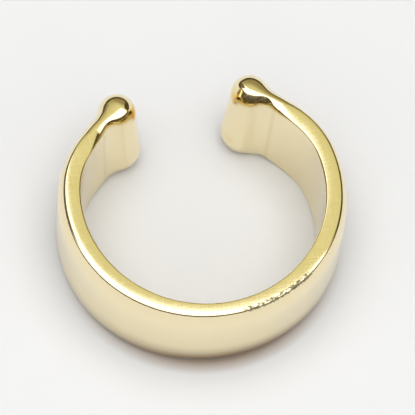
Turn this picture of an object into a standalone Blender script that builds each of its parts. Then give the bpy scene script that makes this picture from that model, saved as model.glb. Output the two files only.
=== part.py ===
"""Ear cuff: an open band of polished yellow gold that lies on its lower rim.

Seen from above the band is a C. Its gap opens towards +Y, and each end swells
into a rounded bead that runs the full width of the band. The whole cuff is one
piece of metal, so it is one object.
"""

import math

import bmesh
import bpy

MM = 0.001

# Driving dimensions in millimetres, angles in degrees
OUTER_DIAMETER = 12.5
BAND_WIDTH = 4.8
BAND_WALL = 1.0

# At the front the wall is thinner, and thickens again over this angle to each side
FRONT_WALL = 0.82
FRONT_SPREAD = 75.0

# The inner wall leans: how much further into the ring it stands at the lower rim
WALL_FLARE = 0.12

# Softened edges: how far each reaches into the rim and how far it drops down the wall
OUTER_EDGE_REACH = 0.37
OUTER_EDGE_DROP = 1.1
INNER_EDGE_REACH = 0.1
INNER_EDGE_DROP = 0.14
BEAD_EDGE_REACH = 0.6
BEAD_EDGE_DROP = 0.6

# The two ends: where the beads stand and how the band leads up to them
BEAD_ANGLE = 32.5
BEAD_DIAMETER = 1.92
BEND_ANGLE = 45.0
BEND_DEPTH = 0.45
NECK_WALL = 1.1
NECK_FILLET = 1.13
NECK_REACH = 1.5

# How finely the outline and the rounded rims are divided
BAND_STEPS = 34
END_STEPS = 22
CAP_STEPS = 14
ROUND_SEGMENTS = 6

# Polished yellow gold
GOLD_COLOUR = (0.90, 0.72, 0.36, 1.0)
GOLD_ROUGHNESS = 0.12
GOLD_METALLIC = 1.0


def smoothstep(share):
    """Rise smoothly from 0 to 1 while share goes from 0 to 1."""
    share = min(max(share, 0.0), 1.0)
    return share * share * (3.0 - 2.0 * share)


def bead_bearing():
    """Angle of a bead's centre, measured round the ring from the front of the band."""
    return math.radians(180.0 - BEAD_ANGLE)


def front_thinning(bearing):
    """How much thinner the wall is here than at the sides: most at the front, none past the spread."""
    share = min(abs(math.degrees(bearing)) / FRONT_SPREAD, 1.0)
    return (BAND_WALL - FRONT_WALL) * (0.5 + 0.5 * math.cos(math.pi * share))


def centre_line_radius(bearing):
    """Radius of the band's middle line, which bends inwards on its way to a bead.

    Where the wall is thinner the inner side keeps its place, so the line moves in with the outer.
    """
    bend = math.radians(BEND_ANGLE)
    share = (bearing - (bead_bearing() - bend)) / bend
    straight = (OUTER_DIAMETER - BAND_WALL - front_thinning(bearing)) / 2.0
    return straight - BEND_DEPTH * smoothstep(share)


def centre_line_point(bearing):
    """Point of the middle line on the right half, with the front at -Y."""
    radius = centre_line_radius(bearing)
    return (radius * math.sin(bearing), -radius * math.cos(bearing))


def centre_line_normal(bearing):
    """Unit vector across the middle line, pointing out of the ring."""
    step = 1e-4
    x0, y0 = centre_line_point(bearing - step)
    x1, y1 = centre_line_point(bearing + step)
    length = math.hypot(x1 - x0, y1 - y0)
    return ((y1 - y0) / length, (x0 - x1) / length)


def fillet_reach():
    """Distance from the bead's centre to where its fillet runs out into the neck."""
    bead = BEAD_DIAMETER / 2.0
    neck = min(NECK_WALL / 2.0, bead)
    return math.sqrt((bead + NECK_FILLET) ** 2 - (neck + NECK_FILLET) ** 2)


def half_wall(distance):
    """Half of the wall's thickness, a given distance along the band from a bead's centre.

    It follows the bead's circle, then a concave fillet down to the neck, and then
    grows or shrinks smoothly to the wall of the band.
    """
    bead = BEAD_DIAMETER / 2.0
    neck = min(NECK_WALL / 2.0, bead)
    reach = fillet_reach()
    if distance < reach * bead / (bead + NECK_FILLET):
        return math.sqrt(max(bead * bead - distance * distance, 0.0))
    if distance < reach:
        return neck + NECK_FILLET - math.sqrt(NECK_FILLET ** 2 - (reach - distance) ** 2)
    return neck + (BAND_WALL / 2.0 - neck) * smoothstep((distance - reach) / NECK_REACH)


def eased(distance, at_band, at_bead):
    """Value that eases from its size at a bead to its size on the band."""
    share = smoothstep(distance / (fillet_reach() + NECK_REACH))
    return at_bead + (at_band - at_bead) * share


def edge_size(distance, inner):
    """Reach and drop of the softened edge, a given distance from a bead's centre.

    The outer and the inner edge differ along the band and are alike at the beads.
    """
    reach = INNER_EDGE_REACH if inner else OUTER_EDGE_REACH
    drop = INNER_EDGE_DROP if inner else OUTER_EDGE_DROP
    reach = min(reach, 0.45 * min(BAND_WALL, FRONT_WALL, NECK_WALL))
    drop = min(drop, 0.4 * BAND_WIDTH)
    bead_reach = min(BEAD_EDGE_REACH, 0.45 * BEAD_DIAMETER)
    bead_drop = min(BEAD_EDGE_DROP, 0.4 * BAND_WIDTH)
    return (eased(distance, reach, bead_reach), eased(distance, drop, bead_drop))


def station_bearings():
    """Bearings of the sections on the right half, closer together near the bead."""
    last = bead_bearing()
    end_start = last - math.radians(BEND_ANGLE)
    band = [end_start * index / BAND_STEPS for index in range(BAND_STEPS)]
    end = [end_start + (last - end_start) * index / END_STEPS for index in range(END_STEPS + 1)]
    return band + end


def half_outline():
    """Right half of the outline, from the outer front round the bead to the inner front.

    Each entry is x, y, the edge's reach and drop there, and the share of the wall's flare.
    """
    bearings = station_bearings()
    mean_radius = (OUTER_DIAMETER - BAND_WALL) / 2.0 - BEND_DEPTH / 2.0
    outer = []
    inner = []
    for bearing in bearings:
        x, y = centre_line_point(bearing)
        nx, ny = centre_line_normal(bearing)
        distance = (bearings[-1] - bearing) * mean_radius
        half = half_wall(distance) - front_thinning(bearing) / 2.0
        outer.append((x + nx * half, y + ny * half, *edge_size(distance, False), 0.0))
        inner.append((x - nx * half, y - ny * half, *edge_size(distance, True), 1.0))
    x, y = centre_line_point(bearings[-1])
    nx, ny = centre_line_normal(bearings[-1])
    bead = BEAD_DIAMETER / 2.0
    edge = edge_size(0.0, False)
    cap = []
    for index in range(1, CAP_STEPS):
        turn = math.pi * index / CAP_STEPS
        along = bead * math.sin(turn)
        across = bead * math.cos(turn)
        share = (1.0 - math.cos(turn)) / 2.0
        cap.append((x + across * nx - along * ny, y + across * ny + along * nx, *edge, share))
    return outer + cap + inner[::-1]


def full_outline():
    """Closed outline of both halves, with the ring's centre at the origin."""
    right = half_outline()
    left = [(-x, *rest) for x, *rest in right[-2:0:-1]]
    return right + left


def outward_normals(outline):
    """Unit normals of a closed outline that runs anticlockwise, from each point's neighbours."""
    normals = []
    for index in range(len(outline)):
        before = outline[index - 1]
        after = outline[(index + 1) % len(outline)]
        dx = after[0] - before[0]
        dy = after[1] - before[1]
        length = math.hypot(dx, dy)
        normals.append((dy / length, -dx / length))
    return normals


def rim_profile():
    """Quarter ellipse of the wall's edge as pairs: shares of its reach and of its drop.

    The first pair is the edge of the flat lower rim, the last the edge of the upright wall.
    """
    pairs = []
    for index in range(ROUND_SEGMENTS + 1):
        turn = math.pi / 2.0 * index / ROUND_SEGMENTS
        pairs.append((1.0 - math.sin(turn), 1.0 - math.cos(turn)))
    return pairs


def level_ring(bm, outline, normals, inset, rise, upper):
    """Add one closed ring of vertices, drawn in and lowered by shares of the edge's size.

    The inner wall leans: at the lower rim it stands further into the ring by the flare.
    """
    ring = []
    for (x, y, reach, drop, share), (nx, ny) in zip(outline, normals):
        inwards = inset * reach if upper else inset * reach - share * WALL_FLARE
        height = BAND_WIDTH - rise * drop if upper else rise * drop
        ring.append(bm.verts.new((
            (x - nx * inwards) * MM,
            (y - ny * inwards) * MM,
            height * MM,
        )))
    return ring


def ring_edges(bm, ring):
    """Join a ring's vertices by edges and return them."""
    return [bm.edges.new((ring[index - 1], ring[index])) for index in range(len(ring))]


def centre_front_to_back(bm):
    """Move the mesh along Y so that the middle of its bounding box lies at Y = 0."""
    lowest = min(vertex.co.y for vertex in bm.verts)
    highest = max(vertex.co.y for vertex in bm.verts)
    bmesh.ops.translate(bm, verts=bm.verts, vec=(0.0, -(lowest + highest) / 2.0, 0.0))


def cuff_mesh():
    """Closed mesh of the cuff: rings of the outline, bridged, with flat rims top and bottom."""
    outline = full_outline()
    normals = outward_normals(outline)
    profile = rim_profile()
    bm = bmesh.new()
    rings = [level_ring(bm, outline, normals, inset, rise, False) for inset, rise in profile]
    rings += [level_ring(bm, outline, normals, inset, rise, True) for inset, rise in profile[::-1]]
    edges = [ring_edges(bm, ring) for ring in rings]
    for lower, upper in zip(edges, edges[1:]):
        bmesh.ops.bridge_loops(bm, edges=lower + upper)
    bm.faces.new(rings[0])
    bm.faces.new(rings[-1])
    centre_front_to_back(bm)
    bmesh.ops.recalc_face_normals(bm, faces=bm.faces)
    mesh = bpy.data.meshes.new("cuff")
    bm.to_mesh(mesh)
    bm.free()
    return mesh


def gold_material():
    """Plain polished gold for the whole cuff."""
    material = bpy.data.materials.new("polished_gold")
    material.use_nodes = True
    shader = material.node_tree.nodes["Principled BSDF"]
    shader.inputs["Base Color"].default_value = GOLD_COLOUR
    shader.inputs["Roughness"].default_value = GOLD_ROUGHNESS
    shader.inputs["Metallic"].default_value = GOLD_METALLIC
    material.diffuse_color = GOLD_COLOUR
    return material


def clear_scene():
    """Remove every object that the file starts with."""
    for item in list(bpy.data.objects):
        bpy.data.objects.remove(item, do_unlink=True)


def main():
    clear_scene()
    mesh = cuff_mesh()
    mesh.materials.append(gold_material())
    mesh.shade_smooth()
    mesh.set_sharp_from_angle(angle=math.radians(40.0))
    cuff = bpy.data.objects.new("cuff", mesh)
    bpy.context.scene.collection.objects.link(cuff)


main()
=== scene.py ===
# %% [markdown]
# # A polished gold ear cuff
# This lesson dresses a small piece of jewellery: one C-shaped band of yellow gold
# whose ends swell into rounded beads. Polished metal has almost no colour of its own
# to show. What the eye reads is the room, bent by the surface, so the lesson spends
# its effort on a smooth shape, on the marks of hand polishing and on the studio.

# %% Load the frame
import math

import bmesh
import bpy
import numpy as np
from mathutils import Matrix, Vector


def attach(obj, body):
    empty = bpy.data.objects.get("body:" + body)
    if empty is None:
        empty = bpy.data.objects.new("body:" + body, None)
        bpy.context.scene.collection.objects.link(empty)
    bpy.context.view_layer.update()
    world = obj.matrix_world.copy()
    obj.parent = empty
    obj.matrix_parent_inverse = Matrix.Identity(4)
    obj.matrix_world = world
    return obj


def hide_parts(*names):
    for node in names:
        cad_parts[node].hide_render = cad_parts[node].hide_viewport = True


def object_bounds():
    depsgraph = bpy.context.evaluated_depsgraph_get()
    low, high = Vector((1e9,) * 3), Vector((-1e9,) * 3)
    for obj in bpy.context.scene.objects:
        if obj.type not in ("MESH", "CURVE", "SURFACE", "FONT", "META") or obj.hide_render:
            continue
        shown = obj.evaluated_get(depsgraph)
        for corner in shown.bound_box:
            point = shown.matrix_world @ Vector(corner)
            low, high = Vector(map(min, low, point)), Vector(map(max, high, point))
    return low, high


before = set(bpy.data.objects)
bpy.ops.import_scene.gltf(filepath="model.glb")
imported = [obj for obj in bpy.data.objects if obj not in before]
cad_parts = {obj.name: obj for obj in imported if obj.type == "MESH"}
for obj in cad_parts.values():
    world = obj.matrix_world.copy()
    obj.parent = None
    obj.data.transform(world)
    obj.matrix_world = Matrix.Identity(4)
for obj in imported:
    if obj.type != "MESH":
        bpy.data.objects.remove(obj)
solid_low, solid_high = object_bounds()

# %% [markdown]
# ## The sizes
# The overall sizes come from the frame. The rest are the cuff's own driving sizes, in
# millimetres and degrees: the wall, the beads and the way the band leads up to them. The
# ring's centre lies a little behind the middle of the box, because the gap cuts the back
# off.

# %% Sizes of the cuff
MM = 0.001
OUTER_DIAMETER = (solid_high.x - solid_low.x) / MM
BAND_WIDTH = (solid_high.z - solid_low.z) / MM
BAND_WALL = 1.0
FRONT_WALL = 0.82
FRONT_SPREAD = 75.0
RING_CENTRE_Y = solid_low.y / MM + OUTER_DIAMETER / 2 - (BAND_WALL - FRONT_WALL)
WALL_FLARE = 0.12
BEAD_ANGLE = 32.5
BEAD_DIAMETER = 1.92
BEND_ANGLE = 45.0
BEND_DEPTH = 0.45
NECK_WALL = 1.1
NECK_FILLET = 1.13
NECK_REACH = 1.5
print("outer diameter and width in mm:", round(OUTER_DIAMETER, 2), round(BAND_WIDTH, 2))

# %% [markdown]
# ## The middle line of the band
# Seen from above, the band follows a circle and then bends gently inwards towards each
# bead. A bearing says how far round the ring a section is, from the front. Working
# with whole arrays of bearings keeps the formula in one place and needs no loop.


# %% Middle line
def smoothstep(share):
    """3 s^2 - 2 s^3 with s clipped to 0..1: a rise with level ends."""
    s = np.clip(share, 0.0, 1.0)
    return s * s * (3.0 - 2.0 * s)


def ease(value, start, run):
    """Smoothstep of (value - start) / run. A run below 0 falls from 1 to 0 instead."""
    return smoothstep((value - start) / run)


BEAD_BEARING = math.radians(180.0 - BEAD_ANGLE)
BEND = math.radians(BEND_ANGLE)
MEAN_RADIUS = (OUTER_DIAMETER - BAND_WALL) / 2


def front_share(bearing):
    """(1 + cos(pi * bearing / spread)) / 2: 1 at the front, 0 from the spread on."""
    part = np.minimum(np.abs(bearing) / math.radians(FRONT_SPREAD), 1.0)
    return 0.5 + 0.5 * np.cos(math.pi * part)


def thinning(bearing):
    """How much thinner than at the sides the wall is: (side wall - front wall) * share."""
    return (BAND_WALL - FRONT_WALL) * front_share(bearing)


def middle_line(bearing):
    """Radius = mean radius - thinning / 2 - bend depth * smoothstep, turned from -Y."""
    share = (np.abs(bearing) - (BEAD_BEARING - BEND)) / BEND
    radius = MEAN_RADIUS - thinning(bearing) / 2 - BEND_DEPTH * smoothstep(share)
    return np.stack([radius * np.sin(bearing), -radius * np.cos(bearing)], axis=-1)


def across(bearing):
    """Unit vector across the line: its direction, from a small step, turned by -90 degrees."""
    step = 1e-4
    along = middle_line(bearing + step) - middle_line(bearing - step)
    along /= np.linalg.norm(along, axis=-1, keepdims=True)
    return np.stack([along[..., 1], -along[..., 0]], axis=-1)


print("bead centre in mm:", middle_line(np.array(BEAD_BEARING)).round(2))

# %% [markdown]
# ## How thick the wall is
# Near an end the half wall follows the bead's circle, then a hollow fillet that
# touches the circle and the neck, and then eases into the band. Circles and fillets
# are written out instead of drawn by hand, so each radius stays a value to change.


# %% Half wall along the band
BEAD = BEAD_DIAMETER / 2
NECK = NECK_WALL / 2
FILLET_REACH = math.sqrt((BEAD + NECK_FILLET) ** 2 - (NECK + NECK_FILLET) ** 2)


def half_wall(distance):
    """Half wall at a distance from the bead's centre.

    Circle: sqrt(R^2 - d^2). Fillet: n + f - sqrt(f^2 - (reach - d)^2), with f the fillet
    radius. Beyond it: n + (wall / 2 - n) * smoothstep.
    """
    circle = np.sqrt(np.maximum(BEAD ** 2 - distance ** 2, 0.0))
    run = np.maximum(NECK_FILLET ** 2 - (FILLET_REACH - distance) ** 2, 0.0)
    fillet = NECK + NECK_FILLET - np.sqrt(run)
    band = NECK + (BAND_WALL / 2 - NECK) * smoothstep((distance - FILLET_REACH) / NECK_REACH)
    on_circle = distance < FILLET_REACH * BEAD / (BEAD + NECK_FILLET)
    return np.where(on_circle, circle, np.where(distance < FILLET_REACH, fillet, band))


def towards_bead(distance, at_band, at_bead):
    """A value that eases from its size on the band to its size at a bead."""
    return at_bead + (at_band - at_bead) * smoothstep(distance / (FILLET_REACH + NECK_REACH))


print("fillet reach in mm:", round(FILLET_REACH, 2))

# %% [markdown]
# ## One closed outline with its spine
# The outline runs along the outer side, round one bead, back along the inner side and
# round the other bead. Each of its points remembers the spine point it belongs to.
# Later every level of the wall is the outline drawn in towards that spine.

# %% Outline
BAND_SECTIONS = 520
CAP_SECTIONS = 48


def outline():
    """Arrays along the closed outline.

    They are the spine point, the direction away from it, the side (1 outside, -1 inside),
    the distance from a bead, the half wall and the bearing.
    """
    bearing = np.linspace(-BEAD_BEARING, BEAD_BEARING, BAND_SECTIONS)
    spine = middle_line(bearing)
    out = across(bearing)
    distance = (BEAD_BEARING - np.abs(bearing)) * (MEAN_RADIUS - BEND_DEPTH / 2)
    half = half_wall(distance) - thinning(bearing) / 2
    turn = np.linspace(0.0, math.pi, CAP_SECTIONS + 2)[1:-1, None]

    def cap(end, sign):
        """Half a turn about a bead's centre, from the outer side to the inner side."""
        along = np.array([-out[end, 1], out[end, 0]]) * sign
        return np.cos(turn) * out[end] + np.sin(turn) * along

    right = cap(-1, 1.0)
    left = cap(0, -1.0)[::-1]
    ones = np.ones(CAP_SECTIONS)
    column = ones[:, None]
    spines = np.concatenate([spine, spine[-1] * column, spine[::-1], spine[0] * column])
    ways = np.concatenate([out, right, -out[::-1], left])
    sides = np.concatenate([np.ones(BAND_SECTIONS), np.cos(turn[:, 0]),
                            -np.ones(BAND_SECTIONS), -np.cos(turn[:, 0])])
    distances = np.concatenate([distance, 0 * ones, distance[::-1], 0 * ones])
    halves = np.concatenate([half, BEAD * ones, half[::-1], BEAD * ones])
    ends = BEAD_BEARING * ones
    bearings = np.concatenate([bearing, ends, bearing[::-1], -ends])
    return spines, ways, sides, distances, halves, bearings


spines, ways, sides, distances, halves, bearings = outline()
print("outline points:", len(spines))

# %% [markdown]
# ## The section of the wall
# Across the wall, the surface starts on the spine of the lower rim, runs out over a
# nearly flat crown, round the edge, up the wall and back over the upper rim. The
# section is one row of shares, used for all places along the outline at once. First
# come the sizes of the edges, which ease from the band to the beads.

# %% Edge sizes
# Edges: how far each reaches into the rim and how far it drops down the wall, in mm
OUTER_EDGE = (0.37, 1.10)
INNER_EDGE = (0.10, 0.14)
BEAD_OUTER_EDGE = (0.86, 0.75)
BEAD_INNER_EDGE = (0.93, 1.00)
# Degrees: tilt of the crown at the outer and the inner edge and at a bead, slope of the
# upper rim at the front, and slant of the facet
RIM_TILT = (5.0, 3.0)
BEAD_TILT = 5.0
FRONT_SLOPE = 2.2
FACET_ANGLE = 53.0
# Millimetres: how far the top of a bead's inner side leans back, and each facet's length
BEAD_LEAN = 0.3
FACET_RIGHT = 0.34
FACET_LEFT = 0.05
# Start and run of the facet's fades: over the inner share, and over the distance from a bead
FACET_SIDE_FADE = (0.3, 0.5)
FACET_END_FADE = (1.35, -0.5)
inner_share = (1.0 - sides) / 2.0


def outer_to_inner(outer, inner):
    """Outer value + (inner value - outer value) * inner share."""
    return outer + (inner - outer) * inner_share


band_reach, band_drop = map(outer_to_inner, OUTER_EDGE, INNER_EDGE)
bead_reach, bead_drop = map(outer_to_inner, BEAD_OUTER_EDGE, BEAD_INNER_EDGE)
edge_reach = towards_bead(distances, band_reach, bead_reach)
edge_drop = towards_bead(distances, band_drop, bead_drop)
edge_tilt = np.radians(towards_bead(distances, outer_to_inner(*RIM_TILT), BEAD_TILT))
facet_place = ease(inner_share, *FACET_SIDE_FADE) * ease(distances, *FACET_END_FADE)
facet = facet_place * np.where(bearings > 0.0, FACET_RIGHT, FACET_LEFT)
print("edge reach in mm:", edge_reach.min().round(2), "to", edge_reach.max().round(2))

# %% [markdown]
# The rim's round edge could come from a Bevel modifier. Worked out as a formula, it can
# change along the band: tight on the inner side, wide on the outer side, and wider still
# at the beads, where a small flat facet is let into the inner edge.

# %% Section
FLAT_STEPS = 8
EDGE_STEPS = 26
WALL_STEPS = 12
FACET_SLANT = math.radians(FACET_ANGLE)
FACET_SOFTNESS = math.radians(6.0)
MOST_REACH = 0.95


def rim_section(half, reach, drop, tilt, facet):
    """Half of the section as two arrays: way from the spine, and depth below the rim's top.

    Edge: a quarter ellipse, x = half - reach (1 - sin t) and depth = drop (1 - cos t),
    walked in even steps of its surface angle f, where tan t = reach / drop * tan f. It
    starts where f is the tilt. Crown: depth = x0 tan(tilt) / 2 * (x / x0)^2 up to there.
    Facet: a straight piece of its own length and slant, let in where f passes that slant.
    """
    angle = tilt + (math.pi / 2 - tilt) * np.linspace(0.0, 1.0, EDGE_STEPS + 1)[:, None]
    turn = np.arctan2(reach * np.sin(angle), drop * np.cos(angle))
    passed = smoothstep((angle - FACET_SLANT) / FACET_SOFTNESS + 0.5)
    edge_x = half - reach * (1.0 - np.sin(turn)) - facet * math.cos(FACET_SLANT) * (1.0 - passed)
    crown = edge_x[0] * np.tan(tilt) / 2.0
    fall = drop * (np.cos(turn[0]) - np.cos(turn))
    edge_z = crown + fall + facet * math.sin(FACET_SLANT) * passed
    share = np.linspace(0.0, 1.0, FLAT_STEPS + 1)[:-1, None]
    way = np.concatenate([share * edge_x[0], edge_x])
    return way, np.concatenate([crown * share ** 2, edge_z])


lower_halves = halves + WALL_FLARE * inner_share
upper_halves = halves - towards_bead(distances, 0.0, BEAD_LEAN) * inner_share
edge_reach = np.minimum(edge_reach, MOST_REACH * upper_halves - facet * math.cos(FACET_SLANT))
upper_way, upper_depth = rim_section(upper_halves, edge_reach, edge_drop, edge_tilt, facet)
no_facet = np.zeros_like(facet)
lower_way, lower_depth = rim_section(lower_halves, edge_reach, edge_drop, edge_tilt, no_facet)
print("section rows per rim:", len(upper_way))

# %% [markdown]
# ## Where the marks and the painted light sit
# The marks follow the shape. Wear rubs the outer edge, a painted warm reflection fills the
# hollow under a bead's facet, the foot of the outer wall is brown, partly tarnish and partly
# painted shade, and faint streaks of painted reflection run up the inner wall near a bead.
# Such places are easy to say in the grid's own terms, bearing and section, and hard to say
# in x, y and z. So each place is worked out on the grid as a number per point, and the
# material reads it by name.

# %% Places on the grid
# Rubbed edge: bearings in degrees, rows as shares of the section, and the fades of both
RUBBED_FROM = 6.0
RUBBED_TO = 42.0
RUBBED_FADE = (1.15, -0.4)
RUBBED_ROWS = (0.10, 0.66)
RUBBED_ROW_FADE = 0.12
# Painted reflection under a facet: the surface angle where it ends, and how fast it rises and falls
FACET_REFLECTION_UNTIL = 64.0
FACET_REFLECTION_RISE = 4.0
FACET_REFLECTION_FALL = 12.0
# Brown foot, partly tarnish and partly painted shade: heights in mm where it starts and is full,
# and its share away from the front
FOOT_HEIGHT = 1.95
FOOT_FULL = 0.35
FOOT_AT_SIDES = 0.3
OUTER_SIDE_FADE = (-0.2, 0.6)
# Streaks, painted reflections on the inner wall: distance from a bead in mm and strength of each
STREAKS = [(0.4, 0.55), (1.45, 1.0)]
STREAK_WIDTH = 0.10
INNER_SIDE_FADE = (0.6, 0.4)
GRID_ROWS = 2 * len(upper_way) + WALL_STEPS - 1


def on_upper_rim(values):
    """Put values of the upper section, spine first, on the grid; all other rows are zero."""
    grid = np.zeros((GRID_ROWS, len(bearings)))
    grid[-len(values):] = values[::-1]
    return grid


def rubbed_place():
    """Bell over the bearings between two angles times a bell over the outer edge's rows."""
    middle, half_span = (RUBBED_FROM + RUBBED_TO) / 2, (RUBBED_TO - RUBBED_FROM) / 2
    along = ease(np.abs(np.degrees(bearings) - middle) / half_span, *RUBBED_FADE)
    row = np.linspace(0.0, 1.0, len(upper_way))[:, None]
    first, last = RUBBED_ROWS
    over = ease(row, first, RUBBED_ROW_FADE) * (1.0 - ease(row, last, RUBBED_ROW_FADE))
    return on_upper_rim(over * along * (sides > 0.5))


def painted_facet_reflection_place():
    """Painted reflection under the facet: rise at the facet's angle and fall before the wall, on
    the inner side of the beads.
    """
    steps = np.linspace(0.0, 1.0, EDGE_STEPS + 1)[:, None]
    angle = np.degrees(edge_tilt) + (90.0 - np.degrees(edge_tilt)) * steps
    rise = ease(angle, FACET_ANGLE, FACET_REFLECTION_RISE)
    fall = 1.0 - ease(angle, FACET_REFLECTION_UNTIL, FACET_REFLECTION_FALL)
    flat = np.zeros((FLAT_STEPS, len(bearings)))
    return on_upper_rim(np.concatenate([flat, rise * fall * facet_place]))


def foot_tarnish_and_shade_place(heights):
    """Tarnish and painted shade at the base of the outer wall: smooth rise from the height where it
    starts down to where it is full, on the outer side.

    It is strongest at the front: side share + (1 - side share) * front share.
    """
    low = ease(heights, FOOT_HEIGHT, FOOT_FULL - FOOT_HEIGHT)
    strength = FOOT_AT_SIDES + (1.0 - FOOT_AT_SIDES) * front_share(bearings)
    return low * ease(sides, *OUTER_SIDE_FADE) * strength


def streak_reflection_place():
    """Painted reflection streaks: sum of narrow bells over the distance from a bead, on the inner
    side only.
    """
    bells = [strength * np.exp(-((distances - middle) / STREAK_WIDTH) ** 2)
             for middle, strength in STREAKS]
    return np.tile(sum(bells) * ease(inner_share, *INNER_SIDE_FADE), (GRID_ROWS, 1))


def add_values(mesh, name, grid):
    """Store one number per point of the grid on the mesh."""
    values = mesh.attributes.new(name, "FLOAT", "POINT")
    values.data.foreach_set("value", np.ascontiguousarray(grid, dtype=np.float32).ravel())


print("rubbed points:", int((rubbed_place() > 0.5).sum()), "of", GRID_ROWS * len(bearings))

# %% [markdown]
# ## The cuff as a mesh
# Rows of the section and points of the outline make a grid, and neighbouring cells
# make its faces. Along the spine the outer and the inner side share their points, so
# the seam is welded there. The finished object stays at the origin, unturned.


# %% Cuff mesh
WELD_GAP = 0.0002


def cuff_grid():
    """Grid of points: spine + direction * way across, height up; rows run from under to over.

    The upper rim slopes down from its inner to its outer edge, by a share of the way across.
    """
    wall = np.linspace(0.0, 1.0, WALL_STEPS + 1)[1:-1, None]
    low, high = lower_depth[-1], BAND_WIDTH - upper_depth[-1]
    upright = low + wall * (high - low)
    heights = np.concatenate([lower_depth, upright, BAND_WIDTH - upper_depth[::-1]])
    leaning = lower_way[-1] + wall * (upper_way[-1] - lower_way[-1])
    reaches = np.concatenate([lower_way, leaning, upper_way[::-1]])
    slope = math.tan(math.radians(FRONT_SLOPE)) * front_share(bearings)
    fall = slope * (halves + np.sign(sides) * upper_way[::-1])
    heights = heights * np.ones_like(reaches)
    heights[-len(upper_way):] -= fall
    plan = spines[None] + ways[None] * reaches[..., None]
    points = np.concatenate([plan, heights[..., None]], axis=-1)
    points[..., 1] += RING_CENTRE_Y
    return points * MM


def grid_mesh(name, points):
    """Mesh from a grid that closes along its second direction."""
    rows, columns = points.shape[:2]
    here = np.arange(columns)
    right = (here + 1) % columns
    start = np.arange(rows - 1)[:, None] * columns
    above = start + columns
    faces = np.stack([start + here, start + right, above + right, above + here], -1)
    mesh = bpy.data.meshes.new(name)
    mesh.from_pydata(points.reshape(-1, 3), [], faces.reshape(-1, 4).tolist())
    return mesh


def weld(mesh, gap):
    """Merge points closer than the gap and turn all faces outwards."""
    bm = bmesh.new()
    bm.from_mesh(mesh)
    bmesh.ops.remove_doubles(bm, verts=bm.verts, dist=gap)
    bmesh.ops.recalc_face_normals(bm, faces=bm.faces)
    bm.to_mesh(mesh)
    bm.free()


grid = cuff_grid()
mesh = grid_mesh("polished_cuff", grid)
add_values(mesh, "rubbed", rubbed_place())
add_values(mesh, "painted_facet_reflection", painted_facet_reflection_place())
add_values(mesh, "foot_tarnish_and_shade", foot_tarnish_and_shade_place(grid[..., 2] / MM))
add_values(mesh, "streak_reflection", streak_reflection_place())
weld(mesh, WELD_GAP * MM)
mesh.shade_smooth()
cuff = bpy.data.objects.new("polished_cuff", mesh)
bpy.context.scene.collection.objects.link(cuff)
print("cuff faces:", len(mesh.polygons))

# %% [markdown]
# ## Marks of the polishing brush
# A hand-polished rim keeps fine hairlines that cross each other. They could be drawn
# one by one, but two stretched noises, turned against each other, give the same look
# at any distance. They go into one node group, because the height of the surface and
# its roughness both use them. First come small helpers that add one node each.


# %% Node helpers
VECTOR_INPUTS = {"Position", "Centre", "Spread", "Direction", "Facing"}


def plug(tree, entry, value):
    """Link an input to a socket, or set a plain value on the input itself."""
    if isinstance(value, bpy.types.NodeSocket):
        tree.links.new(value, entry)
    else:
        entry.default_value = value


def math_node(tree, operation, first, second=None, clamp=False):
    """Result of a math node on one or two sockets or numbers."""
    node = tree.nodes.new("ShaderNodeMath")
    node.operation = operation
    node.use_clamp = clamp
    for entry, value in zip(node.inputs, (first, second)):
        if value is not None:
            plug(tree, entry, value)
    return node.outputs[0]


def clipped(tree, value, start, gain):
    """(value - start) * gain, clipped to 0..1."""
    return math_node(tree, "MULTIPLY", math_node(tree, "SUBTRACT", value, start), gain, True)


def vector_node(tree, operation, *values):
    """Outputs of a vector maths node on one or two sockets."""
    node = tree.nodes.new("ShaderNodeVectorMath")
    node.operation = operation
    for entry, value in zip(node.inputs, values):
        plug(tree, entry, value)
    return node.outputs


def noise_node(tree, place, scale, detail=2.0):
    """Value of a noise at a place, with its scale per metre."""
    node = tree.nodes.new("ShaderNodeTexNoise")
    for name, value in (("Vector", place), ("Scale", scale), ("Detail", detail)):
        plug(tree, node.inputs[name], value)
    return node.outputs[0]


print("inputs that are vectors:", sorted(VECTOR_INPUTS))

# %% [markdown]
# A group needs its sockets made one by one, and a node that uses it needs its values
# put in one by one. Two helpers do both, so each group below shows only its formula.


# %% Group helpers
def new_group(name, inputs, output):
    """Node group with named inputs, numbers or vectors, and one output that is a number."""
    group = bpy.data.node_groups.new(name, "ShaderNodeTree")
    for label in inputs:
        kind = "NodeSocketVector" if label in VECTOR_INPUTS else "NodeSocketFloat"
        group.interface.new_socket(label, in_out="INPUT", socket_type=kind)
    group.interface.new_socket(output, in_out="OUTPUT", socket_type="NodeSocketFloat")
    source = group.nodes.new("NodeGroupInput")
    sink = group.nodes.new("NodeGroupOutput")
    print("group:", name)
    return group, source.outputs, sink.inputs[output]


def use_group(tree, group, label, values):
    """Output of a group node whose named inputs take sockets or plain values."""
    node = tree.nodes.new("ShaderNodeGroup")
    node.node_tree = group
    node.label = label
    for name, value in values.items():
        plug(tree, node.inputs[name], value)
    return node.outputs[0]


# %% [markdown]
# The first group draws the crossing hairlines. It puts out one number, so that each
# material can use it as roughness or as height, and its scale stays an input.

# %% Hairline group
# Each noise: its stretch along x, y and z, and its turn about Z in degrees
HAIRLINES = [((1.0, 16.0, 0.5), 38.0), ((16.0, 1.0, 0.5), 35.0)]
HAIRLINE_DETAIL = 3.0
HAIRLINE_START = 0.38
HAIRLINE_GAIN = 4.0


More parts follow.
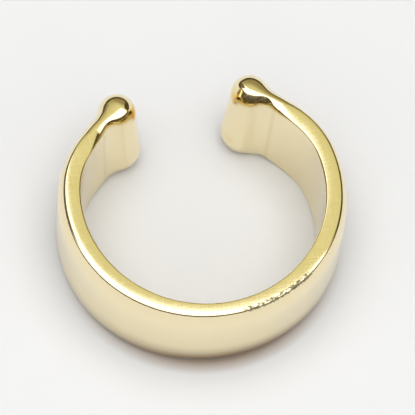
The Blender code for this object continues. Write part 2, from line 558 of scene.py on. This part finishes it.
def hairline_group():
    """Lines = (mean of the turned and stretched noises - start) * gain, clipped to 0..1."""
    group, source, sink = new_group("polish_hairlines", ["Position", "Scale"], "Lines")
    total = 0.0
    for stretch, turn in HAIRLINES:
        place = group.nodes.new("ShaderNodeMapping")
        place.inputs["Rotation"].default_value = (0.0, 0.0, math.radians(turn))
        place.inputs["Scale"].default_value = stretch
        plug(group, place.inputs["Vector"], source["Position"])
        noise = noise_node(group, place.outputs[0], source["Scale"], HAIRLINE_DETAIL)
        total = math_node(group, "ADD", total, noise)
    mean = math_node(group, "MULTIPLY", total, 1.0 / len(HAIRLINES))
    plug(group, sink, clipped(group, mean, HAIRLINE_START, HAIRLINE_GAIN))
    return group


polish_hairlines = hairline_group()

# %% [markdown]
# ## Spots on the surface
# A few small spots sit on the beads. Each needs a mask: one where the spot is, zero away
# from it. An ellipsoid about a centre does for all of them. Its edge is broken up by
# noise, since a real spot is never a clean circle.

# %% Place group
PLACE_DETAIL = 4.0
PLACE_GAIN = 2.0


def place_group():
    """Mask = (1 - |(position - centre) / spread| + ragged * (noise - 1/2)) * gain, clipped."""
    inputs = ["Position", "Centre", "Spread", "Ragged", "Grain"]
    group, source, sink = new_group("place_mask", inputs, "Mask")
    offset = vector_node(group, "SUBTRACT", source["Position"], source["Centre"])["Vector"]
    scaled = vector_node(group, "DIVIDE", offset, source["Spread"])["Vector"]
    away = vector_node(group, "LENGTH", scaled)["Value"]
    noise = noise_node(group, source["Position"], source["Grain"], PLACE_DETAIL)
    rough = math_node(group, "MULTIPLY", math_node(group, "SUBTRACT", noise, 0.5), source["Ragged"])
    near = math_node(group, "ADD", math_node(group, "SUBTRACT", 1.0, away), rough)
    plug(group, sink, math_node(group, "MULTIPLY", near, PLACE_GAIN, True))
    return group


place_mask = place_group()

# %% [markdown]
# ## Gold
# Gold is a metal, so its Base Color is the colour of its reflections. A pale alloy
# reflects nearly all red, most green and about half of the blue. Over it lie the marks
# that the cuff shows and some painted light: a speckled, rubbed patch on the outer edge at
# the right of the front, painted orange reflections in the corners of the beads, a brown
# foot that is partly tarnish and partly painted shade, two faint upright streaks of painted
# reflection on the inner wall near each bead, and fine hairlines.

# %% Spots
# Name, centre and spread in mm, raggedness, grain per m, tone (linear), strength
SPOTS = [
    # The two corner spots are painted orange reflections.
    ("left corner", (-2.15, 4.62, 4.22), (0.34, 0.5, 0.5), 0.35, 2500.0, (0.88, 0.50, 0.06), 0.95),
    ("right corner", (2.14, 4.70, 4.05), (0.26, 0.45, 0.36), 0.6, 2500.0, (0.85, 0.56, 0.16), 0.6),
    ("yellow mark", (2.02, 4.17, 1.33), (0.25, 0.4, 0.25), 0.8, 3000.0, (0.86, 0.68, 0.30), 0.5),
    ("tiny speck", (2.07, 4.51, 3.13), (0.06, 0.2, 0.06), 0.2, 4000.0, (0.25, 0.18, 0.08), 0.6),
]
print("spots:", [spot[0] for spot in SPOTS])


# %% [markdown]
# The tones come in layers: two close golds, then what the mesh stores, then the speckle
# and the spots. Each layer could be painted on its own copy of the metal. Mixing them
# one over another keeps one shader, which is also what an export can read.

# %% Layers of tone
GOLD = (0.91, 0.80, 0.53, 1.0)
DEEPER_GOLD = (0.90, 0.785, 0.50, 1.0)
RUBBED_TONE = (0.20, 0.175, 0.09, 1.0)
# Name of the stored number, its strength and its tone. The foot is tarnish with painted shade; the
# facet and streak tones are painted reflections
STORED_TONES = [
    ("foot_tarnish_and_shade", 0.95, (0.28, 0.18, 0.08, 1.0)),
    ("painted_facet_reflection", 0.9, (0.84, 0.67, 0.28, 1.0)),
    ("streak_reflection", 0.22, (0.56, 0.44, 0.20, 1.0)),
]
# Scale per metre of each noise, and where it starts and how steeply it rises
CLOUD_SCALE, CLOUD_START, CLOUD_GAIN = 420.0, 0.35, 1.2
GRIT_SCALE, GRIT_START, GRIT_GAIN = 6500.0, 0.42, 7.0
GRIT_DETAIL = 4.0


def mixed(tree, factor, first, second):
    """Colour that goes from the first to the second with the factor, clipped to 0..1."""
    mix = tree.nodes.new("ShaderNodeMix")
    mix.data_type = "RGBA"
    mix.clamp_factor = True
    plug(tree, mix.inputs["Factor"], factor)
    plug(tree, mix.inputs[6], first)
    plug(tree, mix.inputs[7], second)
    return mix.outputs[2]


def stored(tree, name):
    """The number that the mesh stores under a name."""
    node = tree.nodes.new("ShaderNodeAttribute")
    node.attribute_name = name
    return node.outputs["Fac"]


def rubbed_speckle(tree, position):
    """A fine noise, clipped into grains, times the rubbed place."""
    grit = noise_node(tree, position, GRIT_SCALE, GRIT_DETAIL)
    grains = clipped(tree, grit, GRIT_START, GRIT_GAIN)
    return math_node(tree, "MULTIPLY", grains, stored(tree, "rubbed"))


def gold_colour(tree, position, worn):
    """Two golds mixed by a noise, then the stored tones, the speckle and the spots over them. Some
    stored tones and the corner spots are painted shade and painted reflections.
    """
    cloud = clipped(tree, noise_node(tree, position, CLOUD_SCALE), CLOUD_START, CLOUD_GAIN)
    colour = mixed(tree, cloud, GOLD, DEEPER_GOLD)
    for name, strength, tone in STORED_TONES:
        share = math_node(tree, "MULTIPLY", stored(tree, name), strength)
        colour = mixed(tree, share, colour, tone)
    colour = mixed(tree, worn, colour, RUBBED_TONE)
    for name, centre, spread, ragged, grain, tone, strength in SPOTS:
        mask = use_group(tree, place_mask, name, {
            "Position": position, "Centre": [value * MM for value in centre],
            "Spread": [value * MM for value in spread], "Ragged": ragged, "Grain": grain})
        share = math_node(tree, "MULTIPLY", mask, strength)
        colour = mixed(tree, share, colour, (*tone, 1.0))
    return colour


print("stored tones:", [row[0] for row in STORED_TONES])

# %% [markdown]
# The material itself puts all this together. The hairlines and the speckle raise the
# roughness and the height. The shader stays here, outside any group, and every plain
# value is set on its own socket.

# %% Gold material
BASE_ROUGHNESS = 0.05
LINE_ROUGHNESS = 0.10
WORN_ROUGHNESS = 0.25
LINE_SCALE = 900.0
LINE_DEPTH = 0.0006
WORN_HEIGHT = 2.0


def gold_material():
    """Roughness = base + lines * share + speckle * share. Height = lines + speckle * share."""
    material = bpy.data.materials.new("polished_gold")
    material.use_nodes = True
    tree = material.node_tree
    shader = tree.nodes["Principled BSDF"].inputs
    shader["Metallic"].default_value = 1.0
    position = tree.nodes.new("ShaderNodeTexCoord").outputs["Object"]
    worn = rubbed_speckle(tree, position)
    lines = use_group(tree, polish_hairlines, "hairlines", {
        "Position": position, "Scale": LINE_SCALE})
    rough = math_node(tree, "ADD", math_node(tree, "MULTIPLY", lines, LINE_ROUGHNESS),
                      math_node(tree, "MULTIPLY", worn, WORN_ROUGHNESS))
    bump = tree.nodes.new("ShaderNodeBump")
    bump.inputs["Distance"].default_value = LINE_DEPTH * MM
    height = math_node(tree, "ADD", lines, math_node(tree, "MULTIPLY", worn, WORN_HEIGHT))
    plug(tree, bump.inputs["Height"], height)
    plug(tree, shader["Base Color"], gold_colour(tree, position, worn))
    plug(tree, shader["Roughness"], math_node(tree, "ADD", rough, BASE_ROUGHNESS, True))
    plug(tree, shader["Normal"], bump.outputs[0])
    print("gold nodes:", len(tree.nodes))
    return material


cuff.data.materials.append(gold_material())
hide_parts("cuff")
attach(cuff, "root")

# %% [markdown]
# ## The floor
# The cuff lies on a plain pale sheet. A plain plane would do, but a sheet of one tone
# looks like nothing at all, so it gets a faint mottle. A painted contact shadow, a narrow
# brown band, lies in it along the front of the cuff, which is where the eye looks for
# contact. The band is a distance from the cuff's own circle, worked out in the material.

# %% Floor material
SHEET_TONE = (0.885, 0.885, 0.885, 1.0)
MOTTLE_TONE = (0.865, 0.865, 0.86, 1.0)
MOTTLE_SCALE = 320.0
SHEET_ROUGHNESS = 0.9
# Painted contact shadow: its tone, the radius and width of its band, and how it fades towards the
# back
CONTACT_SHADOW_TONE = (0.50, 0.39, 0.29, 1.0)
CONTACT_RADIUS = 5.95
CONTACT_WIDTH = 0.62
CONTACT_FADE = 2.0


def painted_contact_shadow(tree, position):
    """Painted contact shadow: (1 - |distance from the foot circle| / width) * (way to the front /
    radius) ^ fade.

    Both factors are clipped to 0..1.
    """
    place = tree.nodes.new("ShaderNodeMapping")
    place.inputs["Location"].default_value = (0.0, -RING_CENTRE_Y * MM, 0.0)
    plug(tree, place.inputs["Vector"], position)
    split = tree.nodes.new("ShaderNodeSeparateXYZ")
    plug(tree, split.inputs[0], place.outputs[0])
    radius = vector_node(tree, "LENGTH", place.outputs[0])["Value"]
    away = math_node(tree, "ABSOLUTE", math_node(tree, "SUBTRACT", radius, CONTACT_RADIUS * MM))
    share = math_node(tree, "DIVIDE", away, CONTACT_WIDTH * MM)
    near = math_node(tree, "SUBTRACT", 1.0, share, True)
    front = math_node(tree, "DIVIDE", split.outputs["Y"], -CONTACT_RADIUS * MM, True)
    return math_node(tree, "MULTIPLY", near, math_node(tree, "POWER", front, CONTACT_FADE))


def floor_material():
    """Pale sheet: two close tones mixed by a noise, and a painted brown contact shadow in a band.
    """
    material = bpy.data.materials.new("pale_floor")
    material.use_nodes = True
    tree = material.node_tree
    shader = tree.nodes["Principled BSDF"].inputs
    shader["Roughness"].default_value = SHEET_ROUGHNESS
    position = tree.nodes.new("ShaderNodeTexCoord").outputs["Object"]
    tone = mixed(tree, noise_node(tree, position, MOTTLE_SCALE), SHEET_TONE, MOTTLE_TONE)
    plug(tree, shader["Base Color"], mixed(tree, painted_contact_shadow(tree, position), tone, CONTACT_SHADOW_TONE))
    print("floor nodes:", len(tree.nodes))
    return material


# %% [markdown]
# The sheet is one square on the level that the lower rim rests on. It is far larger than
# the cuff, and past its edge the camera sees a backdrop of nearly the same tone.

# %% Floor
FLOOR_SIZE = 0.5


def floor_sheet():
    """A square sheet just under the cuff."""
    half = FLOOR_SIZE / 2
    mesh = bpy.data.meshes.new("pale_floor")
    corners = [(-half, -half, 0.0), (half, -half, 0.0), (half, half, 0.0), (-half, half, 0.0)]
    mesh.from_pydata(corners, [], [(0, 1, 2, 3)])
    mesh.materials.append(floor_material())
    sheet = bpy.data.objects.new("pale_floor", mesh)
    bpy.context.scene.collection.objects.link(sheet)
    return sheet


floor_sheet()
print("floor side in mm:", FLOOR_SIZE / MM)

# %% [markdown]
# ## The studio
# A polished metal shows its room, so the room is drawn on purpose: one bright tone all
# round, with a warm roof, a dim back, a dark corner and a dark side over it, and a dark
# band just above the horizon. The roof, the back, the corner and the side are soft round
# patches of sky. One node group makes the mask of a patch from a direction and two
# cosines, and each patch is then mixed over those before it.


# %% Directions
def facing(azimuth, elevation):
    """Unit vector at an azimuth from +X towards +Y and an elevation, both in degrees."""
    turn, rise = math.radians(azimuth), math.radians(elevation)
    return (math.cos(turn) * math.cos(rise), math.sin(turn) * math.cos(rise), math.sin(rise))


ROOM_TONE = (1.9, 1.9, 1.9, 1.0)
# Name, direction, inner and outer radius in degrees, tone
SKY_PATCHES = [
    ("warm roof", facing(53, 0), 67, 73, (0.78, 0.74, 0.41, 1.0)),
    ("dim back", facing(66, 6), 30, 58, (0.34, 0.28, 0.14, 1.0)),
    ("dark corner", facing(18, 20), 18, 29, (0.08, 0.06, 0.02, 1.0)),
    ("dark side", facing(142, 25), 20, 32, (0.18, 0.15, 0.07, 1.0)),
]
HORIZON_TONE = (0.085, 0.065, 0.03, 1.0)
BACKDROP_TONE = (0.90, 0.90, 0.89, 1.0)
# Pairs of height and value: height 0 is straight down, 0.5 the horizon, 1 straight up
HORIZON_STOPS = [(0.0, 0.0), (0.49, 0.0), (0.50, 1.0), (0.60, 1.0), (0.67, 0.0), (1.0, 0.0)]
FILL_STOPS = [(0.0, 0.16), (0.50, 0.16), (0.92, 0.22), (0.97, 3.5), (1.0, 3.5)]
print("patches of sky:", [patch[0] for patch in SKY_PATCHES])


# %% [markdown]
# Such a patch could be a lamp or a card. As a part of the sky it casts no shadow of its
# own and costs no light samples, and its edge is a smooth step between two angles.


# %% Patch mask group
def patch_mask_group():
    """Mask = smooth step of (direction . facing) from the outer to the inner cosine."""
    inputs = ["Direction", "Facing", "Outer cosine", "Inner cosine"]
    group, source, sink = new_group("sky_patch", inputs, "Mask")
    dot = vector_node(group, "DOT_PRODUCT", source["Direction"], source["Facing"])["Value"]
    ramp = group.nodes.new("ShaderNodeMapRange")
    ramp.interpolation_type = "SMOOTHSTEP"
    for name, value in (("Value", dot), ("From Min", source["Outer cosine"]),
                        ("From Max", source["Inner cosine"])):
        plug(group, ramp.inputs[name], value)
    plug(group, sink, ramp.outputs["Result"])
    return group


sky_patch = patch_mask_group()


# %% [markdown]
# The room that the metal mirrors starts from its bright tone. The patches and the dark
# band at the horizon are mixed over it one by one.


# %% Mirrored room
def by_height(tree, height, stops):
    """Grey tone that follows the stops from the lowest direction to the highest."""
    ramp = tree.nodes.new("ShaderNodeValToRGB")
    elements = ramp.color_ramp.elements
    while len(elements) < len(stops):
        elements.new(0.5)
    for element, (position, value) in zip(elements, stops):
        element.position = position
        element.color = (value, value, value, 1.0)
    plug(tree, ramp.inputs["Fac"], height)
    return ramp.outputs["Color"]


def mirrored_room(tree, direction, height):
    """The room's tone, then each patch by its mask, then the horizon by its stops."""
    room = tree.nodes.new("ShaderNodeRGB")
    room.outputs[0].default_value = ROOM_TONE
    colour = room.outputs[0]
    for name, way, inner, outer, tone in SKY_PATCHES:
        mask = use_group(tree, sky_patch, name, {
            "Direction": direction, "Facing": way,
            "Outer cosine": math.cos(math.radians(outer)),
            "Inner cosine": math.cos(math.radians(inner))})
        colour = mixed(tree, mask, colour, tone)
    return mixed(tree, by_height(tree, height, HORIZON_STOPS), colour, HORIZON_TONE)


print("darkest patch:", min(SKY_PATCHES, key=lambda patch: sum(patch[4]))[0])

# %% [markdown]
# The world answers three kinds of ray. What the metal mirrors is the drawn room. What
# lights the floor comes mostly from straight above, for a narrow contact shadow. And
# what the camera sees past the floor is a plain pale backdrop.


# %% World
def studio_world():
    """Room for mirrored rays, fill after a diffuse bounce, backdrop for the camera's own rays."""
    world = bpy.data.worlds.new("studio")
    bpy.context.scene.world = world
    world.use_nodes = True
    tree = world.node_tree
    direction = tree.nodes.new("ShaderNodeTexCoord").outputs["Generated"]
    split = tree.nodes.new("ShaderNodeSeparateXYZ")
    plug(tree, split.inputs[0], direction)
    ramp = tree.nodes.new("ShaderNodeMapRange")
    ramp.inputs["From Min"].default_value = -1.0
    plug(tree, ramp.inputs["Value"], split.outputs["Z"])
    height = ramp.outputs["Result"]
    path = tree.nodes.new("ShaderNodeLightPath").outputs
    colour = mirrored_room(tree, direction, height)
    colour = mixed(tree, path["Diffuse Depth"], colour, by_height(tree, height, FILL_STOPS))
    colour = mixed(tree, path["Is Camera Ray"], colour, BACKDROP_TONE)
    plug(tree, tree.nodes["Background"].inputs["Color"], colour)
    print("world nodes:", len(tree.nodes))


studio_world()

# %% [markdown]
# ## The camera
# The view is steep, a little from the left and slightly rolled. It stands far off, which
# keeps the near and the far side of so small a piece almost the same size.

# %% Camera
ELEVATION = math.radians(64.98)
AZIMUTH = math.radians(-17.06)
ROLL = math.radians(7.19)
DISTANCE = 200.0
PIXELS_PER_MM = 22.82
CENTRE_OFFSET = (-9.65, 28.97)
IMAGE_PIXELS = 415
SENSOR_WIDTH = 36.0
CLIP_START = 0.01
CLIP_END = 10.0


def view_directions():
    """Unit vectors to the right, up and back: the level ones, turned about the view by the roll."""
    back = np.array([math.sin(AZIMUTH) * math.cos(ELEVATION),
                     -math.cos(AZIMUTH) * math.cos(ELEVATION), math.sin(ELEVATION)])
    level = np.array([math.cos(AZIMUTH), math.sin(AZIMUTH), 0.0])
    upright = np.cross(back, level)
    right = math.cos(ROLL) * level + math.sin(ROLL) * upright
    up = -math.sin(ROLL) * level + math.cos(ROLL) * upright
    return right, up, back


def camera():
    """Camera on its line of sight, moved across it so that the cuff sits as in the picture."""
    right, up, back = view_directions()
    place = np.array([0.0, RING_CENTRE_Y, 0.0]) + DISTANCE * back
    place -= right * CENTRE_OFFSET[0] / PIXELS_PER_MM
    place += up * CENTRE_OFFSET[1] / PIXELS_PER_MM
    data = bpy.data.cameras.new("camera")
    data.sensor_width = SENSOR_WIDTH
    data.lens = PIXELS_PER_MM * DISTANCE / IMAGE_PIXELS * data.sensor_width
    data.clip_start = CLIP_START
    data.clip_end = CLIP_END
    item = bpy.data.objects.new("camera", data)
    turn = Matrix(np.column_stack([right, up, back]).tolist()).to_4x4()
    turn.translation = (place * MM).tolist()
    item.matrix_world = turn
    bpy.context.scene.collection.objects.link(item)
    bpy.context.scene.camera = item
    print("camera stands at, in mm:", place.round(1))


camera()

# %% [markdown]
# ## Finish
# The colours are shown as they are, with the Standard view transform.

# %% Finish
bpy.context.scene.view_settings.view_transform = "Standard"
